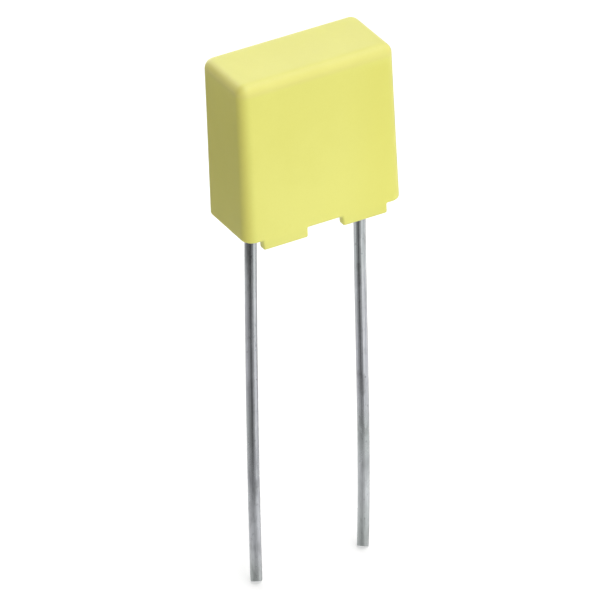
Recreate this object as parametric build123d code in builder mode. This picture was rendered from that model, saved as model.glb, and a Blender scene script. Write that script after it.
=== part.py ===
from build123d import *
import os
from math import cos, radians, sin, tan

# Boxed polyester film capacitor for a 5 mm hole spacing, in millimetres, +Z up.
# The origin is on the board plane, midway between the leads: the case stands on its feet
# above it and the leads hang below it. +X runs along the case towards the right lead.

# Moulded case, measured at the seating plane, where the drafted walls are widest
case_length = 7.2
case_width = 3.5
case_height = 7.5
case_wall = 0.4
case_roof = 0.45
case_draft = 0.6  # degrees on each wall, inside and out
corner_radius = 0.53  # upright corners, outside
crown_radius = 0.43  # edges round the top face
cavity_radius = 0.2  # upright corners, inside
cavity_crown_radius = 0.12  # edges round the inside of the roof

# Stand-off feet: four stretches of the long walls that reach past the rim
foot_height = 0.43
foot_gap = 1.6  # between the two feet of one long wall
foot_end_margin = 0.77  # from the end of the case to the nearest foot
rim_edge_radius = 0.12  # outer edges of the rim and of the feet

# Potting resin
resin_recess = 0.2  # from the rim up to the flat of the resin
meniscus = 0.14  # how far the resin climbs the walls and the leads
meniscus_edge = 0.02  # thickness of the resin where its climb ends
side_fill = 0.2  # resin between the winding and the long walls, at the roof
roof_fill = 0.35  # resin between the winding and the roof
seal_depth = 0.6  # resin between the winding and the sealed face

# End contacts of sprayed metal
contact_thickness = 0.3
contact_edge_chamfer = 0.08

# Tinned wire leads
lead_diameter = 0.5
lead_spacing = 5.0
lead_length = 17.08  # free run, from the sealed face to the tip
lead_lean = 1.9  # degrees by which both free leads lean towards -X
lead_end_chamfer = 0.06  # on the welded end
cut_angle = 29  # degrees by which both faces of a pinched-off tip slope
cut_turns = {"left": 24, "right": 32}  # degrees from the row of leads to the ridge across each tip
weld_depth = 0.08  # how far the wire is pressed into the end contact
weld_margin = 0.9  # from the top of the winding down to the wire's end

# Worked out from the sizes above
lead_radius = lead_diameter / 2
draft_loss = case_height * tan(radians(case_draft))
cavity_height = case_height - case_roof
cavity_length = case_length - 2 * case_wall
cavity_width = case_width - 2 * case_wall
resin_level = foot_height + resin_recess
wet_level = resin_level - meniscus
winding_bottom = resin_level + seal_depth
winding_top = cavity_height - roof_fill
winding_height = winding_top - winding_bottom
winding_thickness = cavity_width - 2 * draft_loss - 2 * side_fill
contact_face = lead_spacing / 2 - lead_radius + weld_depth
winding_half_length = contact_face - contact_thickness
weld_top = winding_top - weld_margin
winding_centre = (winding_top + winding_bottom) / 2
sides = {"left": -1, "right": 1}

os.makedirs("parts", exist_ok=True)


def save(piece, name):
    """Name a finished piece and write it as its own STEP file."""
    piece.part.label = name
    export_step(piece.part, f"parts/{name}.step")


# The hollow of the case, which the potted pieces fill
with BuildPart() as cavity:
    with BuildSketch(Plane.XY):
        RectangleRounded(cavity_length, cavity_width, cavity_radius)
    extrude(amount=cavity_height, taper=case_draft)
    fillet(cavity.faces().sort_by(Axis.Z)[-1].edges(), cavity_crown_radius)


# Case: a drafted, open-bottomed moulding, with a rim that is notched between its feet
with BuildPart() as case:
    with BuildSketch(Plane.XY):
        RectangleRounded(case_length, case_width, corner_radius)
    extrude(amount=case_height, taper=case_draft)
    fillet(case.faces().sort_by(Axis.Z)[-1].edges(), crown_radius)

    # the rim is lifted to the feet's height in the middle of the long walls and past their outer ends
    with BuildSketch(Plane.XY):
        Rectangle(foot_gap, case_width)
        with GridLocations(case_length - foot_end_margin, 0, 2, 1):
            Rectangle(foot_end_margin, case_width)
    extrude(amount=foot_height, mode=Mode.SUBTRACT)

    # soft edge all round the outside of the rim and the feet, made before the hollow is cut
    low_edges = case.edges().filter_by(lambda edge: edge.center().Z < foot_height + rim_edge_radius)
    across = low_edges.filter_by(Axis.Y).sort_by(Axis.X)
    fillet(low_edges - across[1:-1], rim_edge_radius)
    add(cavity.part, mode=Mode.SUBTRACT)
save(case, "case")


# Flattened winding of metallised film, all of its turns as one solid
with BuildPart() as film_element:
    with BuildSketch(Plane.YZ):
        with Locations((0, winding_centre)):
            SlotOverall(winding_height, winding_thickness, rotation=90)
    extrude(amount=winding_half_length, both=True)
save(film_element, "film_element")


# Leads: an upright length welded to the end contact, mitred at the sealed face to the free run
leads = {}
free_direction = Vector(-sin(radians(lead_lean)), 0, -cos(radians(lead_lean)))
mitre_normal = Vector(sin(radians(lead_lean / 2)), 0, cos(radians(lead_lean / 2)))
for side, sign in sides.items():
    bend = Vector(sign * lead_spacing / 2, 0, wet_level)
    mitre = Plane(bend, z_dir=mitre_normal)
    with BuildPart() as welded_length:
        with BuildSketch(Plane.XY.offset(weld_top)):
            with Locations((bend.X, 0)):
                Circle(lead_radius)
        extrude(amount=wet_level - lead_radius - weld_top)
        chamfer(welded_length.edges().sort_by(Axis.Z)[-1], lead_end_chamfer)
        split(bisect_by=mitre, keep=Keep.TOP)
    tip = Plane(bend + free_direction * lead_length, x_dir=(0, 1, 0), z_dir=-free_direction)
    ridge = tip.location * Rotation(0, 0, -cut_turns[side])
    with BuildPart() as lead:
        with BuildSketch(tip):
            Circle(lead_radius)
        extrude(amount=lead_length + lead_radius)
        for slope in (cut_angle, -cut_angle):
            split(bisect_by=Plane(ridge * Rotation(0, slope, 0)), keep=Keep.TOP)
        split(bisect_by=mitre, keep=Keep.BOTTOM)
        add(welded_length.part)
    leads[side] = lead
    save(lead, f"lead_{side}")


# End contacts: sprayed metal over each end of the winding, with the wire's seat pressed into it
contacts = {}
for side, sign in sides.items():
    with BuildPart() as contact:
        with BuildSketch(Plane.YZ.offset(sign * winding_half_length)):
            with Locations((0, winding_centre)):
                SlotOverall(winding_height, winding_thickness, rotation=90)
        extrude(amount=sign * contact_thickness)
        outer_face = contact.faces().sort_by(lambda face: sign * face.center().X)[-1]
        chamfer(outer_face.edges(), contact_edge_chamfer)
        add(leads[side].part, mode=Mode.SUBTRACT)
    contacts[side] = contact
    save(contact, f"end_contact_{side}")


# The open space below the resin: hollowed where the resin climbs the walls, with a cone up each lead
with BuildPart() as air:
    with BuildSketch(Plane.XY.offset(wet_level)):
        RectangleRounded(cavity_length - 2 * meniscus_edge, cavity_width - 2 * meniscus_edge,
                         cavity_radius - meniscus_edge)
    extrude(amount=meniscus)
    fillet(air.faces().sort_by(Axis.Z)[-1].edges(), meniscus - meniscus_edge)
    with Locations(Plane.XY.offset(wet_level)):
        with GridLocations(lead_spacing, 0, 2, 1):
            Cone(lead_radius + meniscus_edge, lead_radius + meniscus, meniscus,
                 align=(Align.CENTER, Align.CENTER, Align.MIN), mode=Mode.SUBTRACT)


# Potting resin: fills the case round the winding
with BuildPart() as potting_resin:
    add(cavity.part)
    split(bisect_by=Plane.XY.offset(wet_level), keep=Keep.TOP)
    add(air.part, mode=Mode.SUBTRACT)
    add(film_element.part, mode=Mode.SUBTRACT)
    for side in sides:
        add(contacts[side].part, mode=Mode.SUBTRACT)
        add(leads[side].part, mode=Mode.SUBTRACT)
save(potting_resin, "potting_resin")
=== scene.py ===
from math import cos, pi, radians, sin, tan

import bmesh
import bpy
from mathutils import Matrix, Vector, noise


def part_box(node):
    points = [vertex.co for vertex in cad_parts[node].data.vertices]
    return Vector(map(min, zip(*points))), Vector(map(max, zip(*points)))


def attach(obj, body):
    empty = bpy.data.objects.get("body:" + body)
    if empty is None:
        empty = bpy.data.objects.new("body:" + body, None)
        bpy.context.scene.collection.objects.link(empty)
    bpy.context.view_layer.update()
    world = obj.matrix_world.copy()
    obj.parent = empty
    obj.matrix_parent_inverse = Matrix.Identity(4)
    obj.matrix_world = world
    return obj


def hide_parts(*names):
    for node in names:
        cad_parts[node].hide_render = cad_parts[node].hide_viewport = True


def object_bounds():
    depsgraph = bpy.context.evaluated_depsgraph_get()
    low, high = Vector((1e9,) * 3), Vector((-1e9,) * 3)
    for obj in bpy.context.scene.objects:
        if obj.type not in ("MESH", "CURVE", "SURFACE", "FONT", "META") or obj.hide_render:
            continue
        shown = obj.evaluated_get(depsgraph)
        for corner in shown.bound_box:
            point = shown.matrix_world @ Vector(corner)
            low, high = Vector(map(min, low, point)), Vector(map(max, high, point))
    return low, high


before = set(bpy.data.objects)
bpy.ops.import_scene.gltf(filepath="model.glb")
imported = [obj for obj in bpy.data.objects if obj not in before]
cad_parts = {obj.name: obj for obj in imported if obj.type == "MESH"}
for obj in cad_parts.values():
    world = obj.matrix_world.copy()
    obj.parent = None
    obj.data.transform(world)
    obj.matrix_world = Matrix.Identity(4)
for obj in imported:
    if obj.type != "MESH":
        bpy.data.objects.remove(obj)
cad_low, cad_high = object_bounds()

# Boxed film capacitor. Lengths in this file are in millimetres up to the point where a mesh,
# a lamp or the camera is made, and each of those is turned into metres by MM.
MM = 0.001

# ---------------------------------------------------------------- sizes, as in the solids
CASE_LENGTH, CASE_WIDTH = 7.2, 3.5
CASE_HEIGHT = (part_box("case")[1] / MM).z
CASE_WALL = 0.4
CASE_ROOF = 0.45
DRAFT = tan(radians(0.6))
CORNER_RADIUS = 0.53
CROWN_RADIUS = 0.43
CAVITY_RADIUS = 0.2
CAVITY_CROWN_RADIUS = 0.12
FOOT_HEIGHT = 0.43
FOOT_LENGTH = 2.03
FOOT_GAP = 1.6
RIM_EDGE_RADIUS = 0.12  # soft edges round the rim and the feet

LEAD_RADIUS = 0.25
LEAD_SPACING = 5.0
LEAD_LEAN = radians(1.9)
WET_LEVEL = 0.49  # where the resin's climb up the leads ends, and the leads start to lean
CUT_SLOPE = 0.55  # steepness of the two faces that the cutter leaves at a tip

# ---------------------------------------------------------------- forms too faint for the solids
SINK = 0.03  # how far a long wall was drawn in as it cooled; a short one by half of that
RIPPLE = 0.006  # share of its radius by which a drawn wire's thickness strays
RIPPLE_RATE = 0.9  # turns of the ripple's noise in a millimetre of wire
RIPPLE_ROW = 5.0  # the row of the noise that the ripple is read from
WIRE_EDGE_RADIUS = 0.045  # soft edges round both ends of a wire

# For each wire: how far its free run bows towards +X, how low the bow sits (1 is halfway), how far
# the tip is turned towards +X, and the degrees from the row of leads to the ridge across the tip
WIRES = {
    "left": (-0.07, 1.0, -0.03, 24),
    "right": (0.085, 2.0, 0.01, 32),
}

# ---------------------------------------------------------------- how finely the meshes are made
CORNER_STEPS = 12  # faces round an upright corner
CROWN_STEPS = 10  # faces over the crown's edge
CAVITY_CROWN_STEPS = 3
WALL_FACES = (2, 12, 10, 12, 2)  # along a long wall: end, foot, gap, foot, end
END_FACES = 14  # along a short wall
UPRIGHT_FACES = 34  # from the rim to the crown
RIM_EDGE_STEPS = 4
LEAST_RADIUS = 0.01  # of a ring's corners, so that no two of its points meet
LID_RINGS = 8
CAVITY_LID_RINGS = 2
LID_REACH = 0.94  # share of the way to the middle that a lid's rings go
LEAD_SIDES = 40  # faces round a wire
LEAD_STEP = 0.15  # length of a face along a wire
WELDED_STOPS = (0, 0.02, 0.3, 0.6, 0.9)  # rings along the upright length of a wire, as shares of it
WIRE_EDGE_STEPS = 4
TIP_RINGS = (0.66, 0.33)  # rings across a tip's faces, as shares of its flat
CLOSE = 0.001  # how near a point has to be to a wall to lie on it
RIM_TURN = radians(50)  # edges of the rim that turn by more than this are made soft
CASE_SHARP = radians(40)  # edges that turn by more than this aren't shaded as smooth
WIRE_SHARP = radians(60)


def new_object(name, bm, material):
    """An object made from bm, which is used up."""
    mesh = bpy.data.meshes.new(name)
    bm.to_mesh(mesh)
    bm.free()
    mesh.materials.append(material)
    piece = bpy.data.objects.new(name, mesh)
    bpy.context.scene.collection.objects.link(piece)
    return piece


def smooth(bm, sharp_angle):
    """Smooth faces, with edges left sharp where they turn by more than sharp_angle."""
    for face in bm.faces:
        face.smooth = True
    for edge in bm.edges:
        edge.smooth = len(edge.link_faces) == 2 and edge.calc_face_angle(0) < sharp_angle


def weighted_normals(piece):
    modifier = piece.modifiers.new("weighted_normals", "WEIGHTED_NORMAL")
    modifier.keep_sharp = True
    modifier.weight = 50


# ---------------------------------------------------------------- node helpers
class Nodes:
    """The node tree of a material or the world, with short calls for the nodes used here."""

    def __init__(self, owner, output="ShaderNodeOutputMaterial", lean=0.0):
        """lean is the slope of a leaning wire, which place() takes out."""
        owner.use_nodes = True
        self.owner = owner
        self.lean = lean
        self.tree = owner.node_tree
        self.tree.nodes.clear()
        self.output = self.add(output)

    def add(self, kind, inputs=(), **settings):
        node = self.tree.nodes.new(kind)
        for key, value in settings.items():
            setattr(node, key, value)
        for key, value in dict(inputs).items():
            self.put(node.inputs[key], value)
        return node

    def put(self, socket, value):
        if isinstance(value, bpy.types.NodeSocket):
            self.tree.links.new(value, socket)
        else:
            socket.default_value = value

    def place(self, scale=(1, 1, 1)):
        """Object coordinates in millimetres times scale, with the lean taken out."""
        where = self.add("ShaderNodeTexCoord").outputs["Object"]
        if self.lean:
            parts = self.add("ShaderNodeSeparateXYZ", {"Vector": where}).outputs
            across = self.math("ADD", parts["X"], self.math("MULTIPLY", parts["Z"], -self.lean))
            upright = {"X": across, "Y": parts["Y"], "Z": parts["Z"]}
            where = self.add("ShaderNodeCombineXYZ", upright).outputs[0]
        scale = tuple(value / MM for value in scale)
        return self.add("ShaderNodeMapping", {"Vector": where, "Scale": scale}).outputs[0]

    def split(self, vector):
        """The X, Y and Z of a vector, by name."""
        return self.add("ShaderNodeSeparateXYZ", {"Vector": vector}).outputs

    def noise(self, scale, detail=2.0, roughness=0.5):
        """Noise with scale features in a millimetre along X, Y and Z."""
        return self.add("ShaderNodeTexNoise", {
            "Vector": self.place(scale), "Scale": 1.0, "Detail": detail, "Roughness": roughness,
        }).outputs["Fac"]

    def math(self, operation, first, second=0.0, clamp=False):
        return self.add("ShaderNodeMath", {
            0: first, 1: second,
        }, operation=operation, use_clamp=clamp).outputs[0]

    def times(self, first, second):
        return self.math("MULTIPLY", first, second)

    def plus(self, first, second, clamp=False):
        return self.math("ADD", first, second, clamp)

    def spread(self, value, low, high, to_low=0.0, to_high=1.0):
        """value carried from the range low..high to to_low..to_high, held at its ends."""
        return self.add("ShaderNodeMapRange", {
            "Value": value, "From Min": low, "From Max": high, "To Min": to_low, "To Max": to_high,
        }, interpolation_type="SMOOTHSTEP").outputs[0]

    def mix(self, factor, first, second, blend="MIX"):
        node = self.add("ShaderNodeMix", data_type="RGBA", blend_type=blend)
        colours = [socket for socket in node.inputs if socket.type == "RGBA"]
        self.put(node.inputs[0], factor)
        self.put(colours[0], first)
        self.put(colours[1], second)
        return [socket for socket in node.outputs if socket.type == "RGBA"][0]

    def tint(self, factor, base, filter_colour):
        """base, seen through filter_colour as far as factor says."""
        return self.mix(factor, base, filter_colour, "MULTIPLY")

    def bump(self, height, distance, strength, normal=None):
        inputs = {"Height": height, "Distance": distance * MM, "Strength": strength}
        if normal is not None:
            inputs["Normal"] = normal
        return self.add("ShaderNodeBump", inputs).outputs[0]

    def seen(self):
        """1 for what the camera sees, straight or in gloss or glass, and otherwise 0."""
        path = self.add("ShaderNodeLightPath").outputs
        in_object = self.math("MAXIMUM", path["Is Glossy Ray"], path["Is Transmission Ray"])
        return self.math("MAXIMUM", path["Is Camera Ray"], in_object)

    def surface(self, shader):
        """Puts the shader on the output, and returns the material or the world."""
        self.put(self.output.inputs["Surface"], shader.outputs[0])
        return self.owner

    def principled(self, **inputs):
        named = {key.replace("_", " "): value for key, value in inputs.items()}
        return self.surface(self.add("ShaderNodeBsdfPrincipled", named))


def colour(red, green, blue):
    return (red, green, blue, 1.0)


def grey(level):
    return colour(level, level, level)


# ---------------------------------------------------------------- materials
def case_plastic():
    """Satin moulded polyester with a fine eroded texture. It is clouded where it flowed, paler low
    down as painted light, richer to the right, with painted shade on the left end, and a painted
    highlight over the crown."""
    n = Nodes(bpy.data.materials.new("case_plastic"))
    where = n.split(n.place())
    along, height = where["X"], where["Z"]
    cloud = n.noise((0.35, 0.35, 0.22), detail=3, roughness=0.55)
    speck = n.noise((14, 14, 14), detail=4, roughness=0.6)
    grain = n.noise((26, 26, 26), detail=5, roughness=0.65)
    wave = n.noise((1.1, 1.1, 0.8))

    # painted light: the walls are painted paler towards the bottom, as if lit from below; the cloud
    # laid over it is the plastic's own uneven tone
    cloud_and_painted_low_light = n.plus(n.spread(height, 6.5, 0.5, 0.0, 0.7), n.spread(cloud, 0.3, 0.7, -0.15, 0.45))
    base = n.mix(cloud_and_painted_low_light, colour(0.785, 0.768, 0.178), colour(0.828, 0.815, 0.212))

    right = n.spread(along, 0.6, 3.0, 0.0, 0.8)
    richer = n.plus(right, n.spread(cloud, 0.35, 0.65, -0.2, 0.3), clamp=True)
    below_crown = n.spread(height, 6.6, 7.0, 1.0, 0.0)
    base = n.tint(n.times(richer, below_crown), base, colour(0.965, 0.955, 0.82))

    # painted shade: the left end is tinted darker and warmer, as it is in shade
    left_end_painted_shade = n.spread(along, -3.15, -3.5)
    base = n.tint(left_end_painted_shade, base, colour(0.985, 0.945, 0.84))

    # painted highlight: the band over the crown's edge is tinted paler and bluer, as where light
    # glances off it; the top face is mostly left out
    top_face = n.spread(height, 7.43, 7.5, 0.0, 0.6)
    painted_crown_highlight = n.math("SUBTRACT", n.spread(height, 6.9, 7.15), top_face)
    base = n.tint(painted_crown_highlight, base, colour(1.0, 0.975, 1.16))

    base = n.mix(n.spread(speck, 0.35, 0.75, 0.0, 0.12), base, colour(0.72, 0.69, 0.12))
    rough = n.spread(cloud, 0.25, 0.75, 0.36, 0.44)
    skin = n.bump(grain, 0.006, 0.35, n.bump(wave, 0.03, 0.25))
    return n.principled(Base_Color=base, Roughness=rough, Normal=skin, IOR=1.5)


def lead_wire():
    """Tinned wire: finely streaked from drawing and mottled, duller and then paler towards the tip,
    smeared by the cutter at the tip, and with painted shade at the top, just under the case."""
    n = Nodes(bpy.data.materials.new("lead_wire"), lean=tan(LEAD_LEAN))
    height = n.split(n.place())["Z"]
    streak = n.noise((8, 8, 0.10), detail=3, roughness=0.6)
    fine = n.noise((30, 30, 0.5), detail=3, roughness=0.6)
    smudge = n.noise((2.2, 2.2, 1.1), detail=4, roughness=0.65)
    patch = n.noise((0.5, 0.5, 0.16))
    pit = n.noise((7, 7, 4.5))
    mottle = n.noise((3.4, 3.4, 0.8), detail=3, roughness=0.6)

    # stretches of the wire, with ragged borders
    # painted shade: marks the top of the wire, just under the case, with a ragged lower border
    painted_shade_under_case = n.spread(n.plus(height, n.times(smudge, 0.9)), 0.05, 0.35)
    low = n.spread(n.plus(height, n.times(smudge, 3.0)), -6.5, -11.0)
    pale = n.spread(n.plus(height, smudge), -11.0, -13.0, 0.0, 0.55)
    smeared = n.spread(n.plus(height, n.times(mottle, 1.5)), -14.4, -15.2)

    bright_tin = n.mix(n.spread(streak, 0.35, 0.62), colour(0.505, 0.51, 0.52),
                       colour(0.64, 0.645, 0.65))
    dull_tin = n.mix(n.spread(smudge, 0.35, 0.66), colour(0.53, 0.54, 0.54),
                     colour(0.40, 0.41, 0.41))
    base = n.mix(n.times(low, 0.9), bright_tin, dull_tin)
    base = n.mix(pale, base, colour(0.68, 0.69, 0.69))
    base = n.mix(n.spread(fine, 0.35, 0.7, 0.0, 0.28), base, colour(0.30, 0.31, 0.32))
    base = n.tint(n.spread(patch, 0.38, 0.62, 0.0, 0.5), base, colour(0.90, 1.0, 0.99))
    base = n.tint(n.spread(patch, 0.58, 0.36, 0.0, 0.5), base, colour(0.95, 0.97, 1.06))
    base = n.tint(n.spread(mottle, 0.54, 0.68, 0.0, 0.75), base, colour(0.72, 0.72, 0.71))
    base = n.tint(n.spread(mottle, 0.46, 0.32, 0.0, 0.75), base, grey(1.18))
    base = n.tint(smeared, base, colour(0.82, 0.82, 0.81))
    base = n.mix(n.spread(pit, 0.63, 0.76, 0.0, 0.45), base, colour(0.2, 0.2, 0.21))
    # painted shade under the case: a dark olive brown over the top of the wire
    base = n.mix(n.times(painted_shade_under_case, 0.75), base, colour(0.16, 0.14, 0.06))
    rough = n.plus(n.spread(smudge, 0.3, 0.7, 0.13, 0.26), n.times(low, 0.13))
    skin = n.bump(fine, 0.002, 0.3, n.bump(smudge, 0.012, 0.14))
    return n.principled(Base_Color=base, Metallic=1.0, Roughness=rough, Normal=skin)


def resin():
    """Cast epoxy: dull yellow, clouded where the filler has settled."""
    n = Nodes(bpy.data.materials.new("resin"))
    cloud = n.noise((0.9, 0.9, 0.9), detail=3)
    speck = n.noise((11, 11, 11), detail=3)
    base = n.mix(n.spread(cloud, 0.3, 0.7), colour(0.60, 0.53, 0.13), colour(0.68, 0.62, 0.20))
    base = n.mix(n.spread(speck, 0.6, 0.75, 0.0, 0.4), base, colour(0.40, 0.33, 0.07))
    rough = n.spread(speck, 0.3, 0.8, 0.22, 0.42)
    skin = n.bump(cloud, 0.02, 0.4, n.bump(speck, 0.004, 0.4))
    return n.principled(Base_Color=base, Roughness=rough, Normal=skin, IOR=1.52)


def wound_film():
    """Metallised film: silvery, with the edges of its layers as fine lines along the winding."""
    n = Nodes(bpy.data.materials.new("wound_film"))
    layer = n.add("ShaderNodeTexWave", {
        "Vector": n.place((0.2, 6, 0.2)), "Scale": 1.0, "Distortion": 0.6, "Detail": 2.0,
    }, bands_direction="Y").outputs["Fac"]
    base = n.mix(layer, colour(0.50, 0.50, 0.49), colour(0.66, 0.66, 0.65))
    rough = n.spread(layer, 0, 1, 0.3, 0.45)
    skin = n.bump(layer, 0.006, 0.5)
    return n.principled(Base_Color=base, Metallic=0.85, Roughness=rough, Normal=skin)


def contact_metal():
    """Sprayed metal: matt grey droplets frozen on each other."""
    n = Nodes(bpy.data.materials.new("contact_metal"))
    voronoi = n.add("ShaderNodeTexVoronoi", {"Vector": n.place((12, 12, 12)), "Scale": 1.0})
    drop = voronoi.outputs["Distance"]
    grain = n.noise((20, 20, 20), detail=4)
    base = n.mix(n.spread(drop, 0.1, 0.7), colour(0.52, 0.52, 0.51), colour(0.36, 0.36, 0.35))
    rough = n.spread(grain, 0.3, 0.7, 0.55, 0.75)
    skin = n.bump(drop, 0.02, 0.8, n.bump(grain, 0.01, 0.6))
    return n.principled(Base_Color=base, Metallic=1.0, Roughness=rough, Normal=skin)


# ---------------------------------------------------------------- case
def stops(low, high, count):
    """Evenly spaced places from low up to, but not at, high."""
    return [low + (high - low) * i / count for i in range(count)]


def wall_stops(half):
    """Places along a long wall, from one end to the other, with one at each end of each foot."""
    inner = FOOT_GAP / 2
    outer = inner + FOOT_LENGTH
    marks = [-half, -outer, -inner, inner, outer, half]
    spans = zip(marks, marks[1:], WALL_FACES)
    return [x for low, high, count in spans for x in stops(low, high, count)] + [half]


def ring(half_x, half_y, radius):
    """A rounded rectangle as points, anticlockwise from the front wall's left end. Every ring has
    the same number of points, and a foot's end is at the same x in each."""
    points = []
    straight_x, straight_y = half_x - radius, half_y - radius
    along = wall_stops(straight_x)
    across = stops(-straight_y, straight_y, END_FACES) + [straight_y]
    walls = [
        [(x, -half_y) for x in along],
        [(half_x, y) for y in across],
        [(-x, half_y) for x in along],
        [(-half_x, -y) for y in across],
    ]
    centres = [
        (straight_x, -straight_y),
        (straight_x, straight_y),
        (-straight_x, straight_y),
        (-straight_x, -straight_y),
    ]
    for quarter, (wall, (x, y)) in enumerate(zip(walls, centres)):
        points += wall
        for step in range(1, CORNER_STEPS):
            angle = pi / 2 * (quarter - 1 + step / CORNER_STEPS)
            points.append((x + radius * cos(angle), y + radius * sin(angle)))
    return points


def is_foot(a, b, half_y):
    """True for a stretch of ring that is part of a foot."""
    x = abs(a[0] + b[0]) / 2
    on_long_wall = min(abs(a[1]), abs(b[1])) > half_y - CLOSE
    return on_long_wall and FOOT_GAP / 2 < x < FOOT_GAP / 2 + FOOT_LENGTH


def shell_levels(half_x, half_y, radius, top, crown, steps, sink):
    """The rings of a drafted box from its lower edge to the end of its crown, as 3-D points. steps
    is the number of faces over the crown's edge, and sink how far the long walls are drawn in."""
    wall_top = top - crown
    heights = [0.0] + stops(FOOT_HEIGHT, wall_top, UPRIGHT_FACES) + [wall_top]
    levels = []
    for z in heights:
        loss = DRAFT * z
        points = []
        for x, y in ring(half_x - loss, half_y - loss, radius - loss):
            reach_x = max(0.0, 1 - (x / half_x) ** 2)
            reach_y = max(0.0, 1 - (y / half_y) ** 2)
            reach_z = max(0.0, 1 - ((2 * z - top) / top) ** 2)
            y -= sink * reach_x * reach_z * y / half_y
            x -= sink / 2 * reach_y * reach_z * x / half_x
            points.append(Vector((x, y, z)))
        levels.append(points)
    for step in range(1, steps + 1):
        angle = pi / 2 * step / steps
        inset = DRAFT * wall_top + crown * (1 - cos(angle))
        z = wall_top + crown * sin(angle)
        corner = max(radius - inset, LEAST_RADIUS + LEAST_RADIUS * (steps - step) / steps)
        outline = ring(half_x - inset, half_y - inset, corner)
        levels.append([Vector((x, y, z)) for x, y in outline])
    return levels


def add_band(bm, lower, upper, flip, wanted=None):
    """Faces between two rings of vertices, or only those that wanted marks."""
    for i in range(len(lower)):
        if wanted is None or wanted[i]:
            j = (i + 1) % len(lower)
            corners = [lower[i], lower[j], upper[j], upper[i]]
            bm.faces.new(reversed(corners) if flip else corners)


def add_shell(bm, levels, feet, flip):
    """Faces between the levels, with the lowest band only at the feet. Returns the vertices by
    level."""
    made = [[bm.verts.new(point * MM) for point in level] for level in levels]
    add_band(bm, made[0], made[1], flip, feet)
    for lower, upper in zip(made[1:], made[2:]):
        add_band(bm, lower, upper, flip)
    return made


def add_lid(bm, edge, rings, sink, flip):
    """Closes the top with rings that shrink to the middle, drawn in by sink."""
    z = edge[0].co.z
    half_x = max(v.co.x for v in edge)
    half_y = max(v.co.y for v in edge)
    previous = edge
    for step in range(1, rings + 1):
        share = step / rings
        inset = half_y * LID_REACH * step / rings
        depth = sink * MM * (1 - (1 - share) ** 2)
        scale_x, scale_y = (half_x - inset) / half_x, (half_y - inset) / half_y
        here = [bm.verts.new((v.co.x * scale_x, v.co.y * scale_y, z - depth)) for v in edge]
        add_band(bm, previous, here, flip)
        previous = here
    bm.faces.new(reversed(previous) if flip else previous)


def add_rim(bm, inner, outer, feet):
    """Joins the inside and the outside of the case along its lower edge, up and down each foot."""
    for i, foot in enumerate(feet):
        j = (i + 1) % len(feet)
        level = 0 if foot else 1
        bm.faces.new([inner[level][i], inner[level][j], outer[level][j], outer[level][i]])
        if foot and not feet[i - 1]:
            bm.faces.new([outer[0][i], outer[1][i], inner[1][i], inner[0][i]])
        if foot and not feet[j]:
            bm.faces.new([inner[0][j], inner[1][j], outer[1][j], outer[0][j]])


def make_case():
    """The moulded case: a drafted shell, open below, on four feet."""
    bm = bmesh.new()
    half_x, half_y = CASE_LENGTH / 2, CASE_WIDTH / 2
    outline = ring(half_x, half_y, CORNER_RADIUS)
    feet = [is_foot(a, b, half_y) for a, b in zip(outline, outline[1:] + outline[:1])]

    levels = shell_levels(half_x, half_y, CORNER_RADIUS, CASE_HEIGHT, CROWN_RADIUS, CROWN_STEPS,
                          SINK)
    outer = add_shell(bm, levels, feet, False)
    add_lid(bm, outer[-1], LID_RINGS, SINK / 2, False)

    levels = shell_levels(half_x - CASE_WALL, half_y - CASE_WALL, CAVITY_RADIUS,
                          CASE_HEIGHT - CASE_ROOF, CAVITY_CROWN_RADIUS, CAVITY_CROWN_STEPS, 0.0)
    inner = add_shell(bm, levels, feet, True)
    add_lid(bm, inner[-1], CAVITY_LID_RINGS, 0.0, True)

    add_rim(bm, inner, outer, feet)
    loose = [v for v in bm.verts if not v.link_faces]
    bmesh.ops.delete(bm, geom=loose, context="VERTS")
    bm.normal_update()
    rim = [e for e in bm.edges if e.calc_face_angle(0) > RIM_TURN
           and max(v.co.z for v in e.verts) < (FOOT_HEIGHT + CLOSE) * MM]
    bmesh.ops.bevel(bm, geom=rim, offset=RIM_EDGE_RADIUS * MM, segments=RIM_EDGE_STEPS,
                    profile=0.5, affect="EDGES", clamp_overlap=True)
    bmesh.ops.recalc_face_normals(bm, faces=bm.faces)
    smooth(bm, CASE_SHARP)
    return new_object("case_shell", bm, case_plastic())


# ---------------------------------------------------------------- leads
def lead_path(side, bow, skew, drift):
    """Points down the middle of a wire, from its welded end to its tip. bow is how far the free run
    leaves a straight line, lower down with more skew, and drift how far its tip is turned aside."""
    low, high = (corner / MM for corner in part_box(f"lead_{side}"))
    sign = -1 if side == "left" else 1
    top = Vector((sign * LEAD_SPACING / 2, 0, high.z))
    bend = Vector((top.x, 0, WET_LEVEL))
    direction = Vector((-sin(LEAD_LEAN), 0, -cos(LEAD_LEAN)))
    reach = (bend.z - low.z - LEAD_RADIUS * sin(LEAD_LEAN)) / cos(LEAD_LEAN)
    path = [top + (bend - top) * share for share in WELDED_STOPS]
    steps = round(reach / LEAD_STEP)
    for i in range(steps + 1):
        share = i / steps
        bowed = share ** skew
        sway = bow * 4 * bowed * (1 - bowed) + drift * share ** 2
        path.append(bend + direction * (reach * share) + Vector((sway, 0, 0)))
    return path


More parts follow.
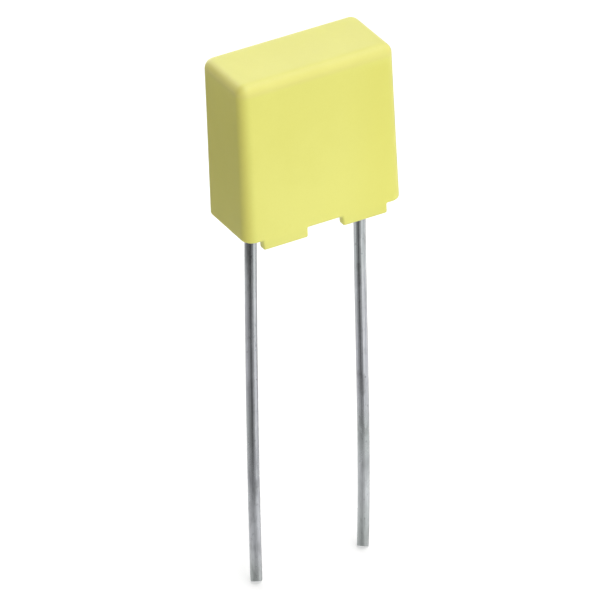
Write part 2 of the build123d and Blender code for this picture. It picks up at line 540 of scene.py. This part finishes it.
def make_lead(side, bow, skew, drift, cut_turn, material):
    """A drawn wire, pinched off at its tip to a ridge that is turned by cut_turn degrees from the
    row of leads."""
    path = lead_path(side, bow, skew, drift)
    start = (path[1] - path[0]).normalized()
    finish = (path[-1] - path[-2]).normalized()
    off_ridge = Vector((sin(radians(cut_turn)), cos(radians(cut_turn)), 0))
    across = Vector((0, 1, 0))
    angles = [2 * pi * k / LEAD_SIDES for k in range(LEAD_SIDES)]
    rings = []
    for i, point in enumerate(path):
        tangent = (path[min(i + 1, len(path) - 1)] - path[max(i - 1, 0)]).normalized()
        other = tangent.cross(across).normalized()
        stray = noise.noise(Vector((point.x, RIPPLE_ROW, point.z * RIPPLE_RATE)))
        spokes = [across * cos(angle) + other * sin(angle) for angle in angles]
        rings.append((point, spokes, LEAD_RADIUS * (1 + RIPPLE * stray)))

    bm = bmesh.new()

    def add_ring(ring_here, inset=0.0, shift=Vector(), slope=0.0):
        """A ring of vertices, made smaller by inset, and cut back by slope away from the ridge."""
        point, spokes, radius = ring_here
        made = []
        for spoke in spokes:
            reach = spoke * (radius - inset)
            lift = -finish * slope * abs(reach.dot(off_ridge))
            made.append(bm.verts.new((point + shift + reach + lift) * MM))
        return made

    # round both ends the edge turns in by inset while it moves back along the wire
    edge = WIRE_EDGE_RADIUS
    turns = [pi / 2 * k / WIRE_EDGE_STEPS for k in range(WIRE_EDGE_STEPS + 1)]
    made = []
    for angle in turns[:-1]:
        made.append(add_ring(rings[0], edge * (1 - sin(angle)), start * edge * (1 - cos(angle))))
    made += [add_ring(ring_here) for ring_here in rings[1:-1]]
    for angle in reversed(turns):
        made.append(add_ring(rings[-1], edge * (1 - sin(angle)), -finish * edge * (1 - cos(angle)),
                             CUT_SLOPE))
    for share in TIP_RINGS:
        inset = edge + (LEAD_RADIUS - edge) * (1 - share)
        made.append(add_ring(rings[-1], inset, slope=CUT_SLOPE))
    for lower, upper in zip(made, made[1:]):
        add_band(bm, lower, upper, False)
    bm.faces.new(made[0])
    bm.faces.new(made[-1])
    bmesh.ops.recalc_face_normals(bm, faces=bm.faces)
    smooth(bm, WIRE_SHARP)
    return new_object(f"wire_{side}", bm, material)


case = make_case()
weighted_normals(case)
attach(case, "root")
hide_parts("case")

wire_material = lead_wire()
wires = []
for side, (bow, skew, drift, cut_turn) in WIRES.items():
    wire = make_lead(side, bow, skew, drift, cut_turn, wire_material)
    wires.append(wire)
    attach(wire, "root")
    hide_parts(f"lead_{side}")

# The pieces that show little or nothing keep their solids' form, with a finish of their own
contact_material = contact_metal()
finishes = {
    "potting_resin": resin(),
    "film_element": wound_film(),
    "end_contact_left": contact_material,
    "end_contact_right": contact_material,
}
for node, material in finishes.items():
    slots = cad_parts[node].data.materials
    slots.clear()
    slots.append(material)


# ---------------------------------------------------------------- floor and flag
FLOOR_SIZE = 2.0  # half its side, in metres
FLOOR_DROP = 0.02  # from the tips down to the floor
FLOOR_GLOW = 0.36  # what the camera sees on top of the lit floor, so that it looks white

# The flag is a wall round the object. Its angles are degrees from the front (-Y), round by the
# left and the back. Its levels are the greys that the wires mirror, each at its angle.
FLAG_RADIUS = 10.0
FLAG_BOTTOM, FLAG_TOP = -30.0, 4.0
FLAG_START, FLAG_END = -6, 250
FLAG_FACES = 60
FLAG_MIDDLE = 120  # the ramp's seam is opposite this angle, where the flag is open
FLAG_LEVELS = (
    (0, 0.45), (14, 0.45), (27, 0.31), (39, 0.13), (52, 0.14), (84, 0.42),
    (126, 0.76), (172, 0.92), (198, 0.62), (214, 0.15), (226, 0.15), (248, 0.5),
)


def make_floor():
    """A pale floor that the camera sees as white, with the object's shadow kept on it. It is clear
    from below, and the wires don't mirror it, as the flag reaches further down."""
    bm = bmesh.new()
    bmesh.ops.create_grid(bm, x_segments=8, y_segments=8, size=FLOOR_SIZE)
    n = Nodes(bpy.data.materials.new("floor"))
    mottle = n.noise((0.02, 0.02, 0.02))
    paper = n.add("ShaderNodeBsdfDiffuse", {
        "Color": n.mix(mottle, grey(0.80), colour(0.82, 0.82, 0.815)),
    })
    glow = n.add("ShaderNodeEmission", {
        "Color": grey(1), "Strength": n.times(n.seen(), FLOOR_GLOW),
    })
    lit = n.add("ShaderNodeAddShader", {0: paper.outputs[0], 1: glow.outputs[0]})
    clear = n.add("ShaderNodeBsdfTransparent")
    under = n.add("ShaderNodeNewGeometry").outputs["Backfacing"]
    both = n.add("ShaderNodeMixShader", {0: under, 1: lit.outputs[0], 2: clear.outputs[0]})
    floor = new_object("floor", bm, n.surface(both))
    floor.location.z = cad_low.z - FLOOR_DROP * MM
    floor.visible_glossy = False


def flag_material():
    """Greys round the flag, darker at its top and paler in a band low down."""
    n = Nodes(bpy.data.materials.new("flag"))
    turned = n.add("ShaderNodeVectorRotate", {
        "Vector": n.place(), "Angle": radians(FLAG_MIDDLE),
    }, rotation_type="Z_AXIS").outputs[0]
    where = n.split(turned)
    angle = n.math("ARCTAN2", n.times(where["X"], -1.0), n.times(where["Y"], -1.0))
    ramp = n.add("ShaderNodeValToRGB", {"Fac": n.plus(n.times(angle, 0.5 / pi), 0.5)})
    marks = ramp.color_ramp.elements
    for i, (degrees_round, level) in enumerate(FLAG_LEVELS):
        position = (degrees_round - FLAG_MIDDLE) / 360 + 0.5
        mark = marks[i] if i < 2 else marks.new(position)
        mark.position = position
        mark.color = grey(level)
    height = where["Z"]
    top_shade = n.spread(height, -7, -3, 1.0, 0.35)
    band_start = n.spread(height, -15, -18.6, 0.0, 0.78)
    band_end = n.spread(height, -19.5, -22, 1.0, 0.4)
    greys = n.mix(n.times(band_start, band_end), ramp.outputs["Color"], grey(0.9))
    level = n.times(greys, top_shade)
    return n.surface(n.add("ShaderNodeEmission", {"Color": grey(1), "Strength": level}))


def make_flag():
    """A curved wall, as a studio puts round metal: only reflections show it."""
    bm = bmesh.new()
    columns = []
    for i in range(FLAG_FACES + 1):
        angle = radians(FLAG_START + (FLAG_END - FLAG_START) * i / FLAG_FACES)
        x, y = -FLAG_RADIUS * sin(angle), -FLAG_RADIUS * cos(angle)
        ends = [Vector((x, y, z)) * MM for z in (FLAG_BOTTOM, FLAG_TOP)]
        columns.append([bm.verts.new(end) for end in ends])
    for left, right in zip(columns, columns[1:]):
        bm.faces.new([left[0], right[0], right[1], left[1]])
    flag = new_object("flag", bm, flag_material())
    flag.visible_camera = flag.visible_diffuse = False
    flag.visible_shadow = flag.visible_transmission = False


make_floor()
make_flag()

# ---------------------------------------------------------------- light
# Name, degrees round from the front by the right, degrees up, width in degrees, strength
LAMPS = (
    ("front", 0, 10, 50, 0.48),
    ("front_high", 4, 66, 50, 0.38),
    ("right", 45, 10, 50, 0.17),
    ("overhead", 108, 60, 56, 0.35),
    ("back", 180, 18, 50, 0.45),
)
LOW_LAMP = 15  # lamps below this height in degrees stay out of gloss, which they would whiten
HIGH_LAMP = 50  # lamps above this height stay off the wires, which mirror them to a view from below
WORLD_FILL = 0.03


def keep_off(lamp, pieces):
    """Keeps a lamp off the pieces, which would mirror it as a burnt-out stripe."""
    unlit = bpy.data.collections.new(f"not_lit_by_{lamp.name}")
    lamp.light_linking.receiver_collection = unlit
    for piece in pieces:
        unlit.objects.link(piece)
    for member in unlit.collection_objects:
        member.light_linking.link_state = "EXCLUDE"


def softbox(name, azimuth, elevation, width, strength):
    """A broad distant lamp. A face turned to it is lit to strength times its own colour."""
    azimuth, elevation = radians(azimuth), radians(elevation)
    toward = Vector((sin(azimuth) * cos(elevation), -cos(azimuth) * cos(elevation), sin(elevation)))
    lamp = bpy.data.lights.new(name, "SUN")
    lamp.angle = radians(width)
    lamp.energy = strength * pi
    holder = bpy.data.objects.new(name, lamp)
    holder.rotation_euler = toward.to_track_quat("Z", "Y").to_euler()
    holder.visible_glossy = elevation > radians(LOW_LAMP)
    bpy.context.scene.collection.objects.link(holder)
    if elevation > radians(HIGH_LAMP):
        keep_off(holder, wires)


def make_world():
    """White where the camera looks, and in gloss and glass; a weak fill for the rest."""
    world = bpy.data.worlds.new("studio")
    bpy.context.scene.world = world
    n = Nodes(world, "ShaderNodeOutputWorld")
    strength = n.spread(n.seen(), 0.0, 1.0, WORLD_FILL, 1.0)
    n.surface(n.add("ShaderNodeBackground", {"Color": grey(1), "Strength": strength}))


for lamp_settings in LAMPS:
    softbox(*lamp_settings)
make_world()

# ---------------------------------------------------------------- camera
VIEW_AZIMUTH = radians(27.24)  # round from the front by the left
VIEW_ELEVATION = radians(30.50)
VIEW_ROLL = radians(2.77)
VIEW_DISTANCE = 294.0
VIEW_WIDTH = 24.40  # at the object
AIM_RIGHT, AIM_UP = -0.388, -4.03  # from the origin to the middle of the view
SENSOR_WIDTH = 36.0


def make_camera():
    """At the photograph's angle: from the front left and above, turned a little about its axis."""
    azimuth, elevation, roll = VIEW_AZIMUTH, VIEW_ELEVATION, VIEW_ROLL
    back = Vector((-sin(azimuth) * cos(elevation), -cos(azimuth) * cos(elevation), sin(elevation)))
    right = Vector((cos(azimuth), -sin(azimuth), 0))
    up = Vector((sin(azimuth) * sin(elevation), cos(azimuth) * sin(elevation), cos(elevation)))
    aim = right * AIM_RIGHT + Vector((0, 0, AIM_UP))
    turned_right = right * cos(roll) - up * sin(roll)
    turned_up = right * sin(roll) + up * cos(roll)
    data = bpy.data.cameras.new("camera")
    data.sensor_width = SENSOR_WIDTH
    data.lens = SENSOR_WIDTH * VIEW_DISTANCE / VIEW_WIDTH
    data.clip_start, data.clip_end = 0.01, 10.0
    camera = bpy.data.objects.new("camera", data)
    place = Matrix((turned_right, turned_up, back)).transposed().to_4x4()
    place.translation = (aim + back * VIEW_DISTANCE) * MM
    camera.matrix_world = place
    bpy.context.scene.collection.objects.link(camera)
    bpy.context.scene.camera = camera


make_camera()
bpy.context.scene.view_settings.view_transform = "Standard"
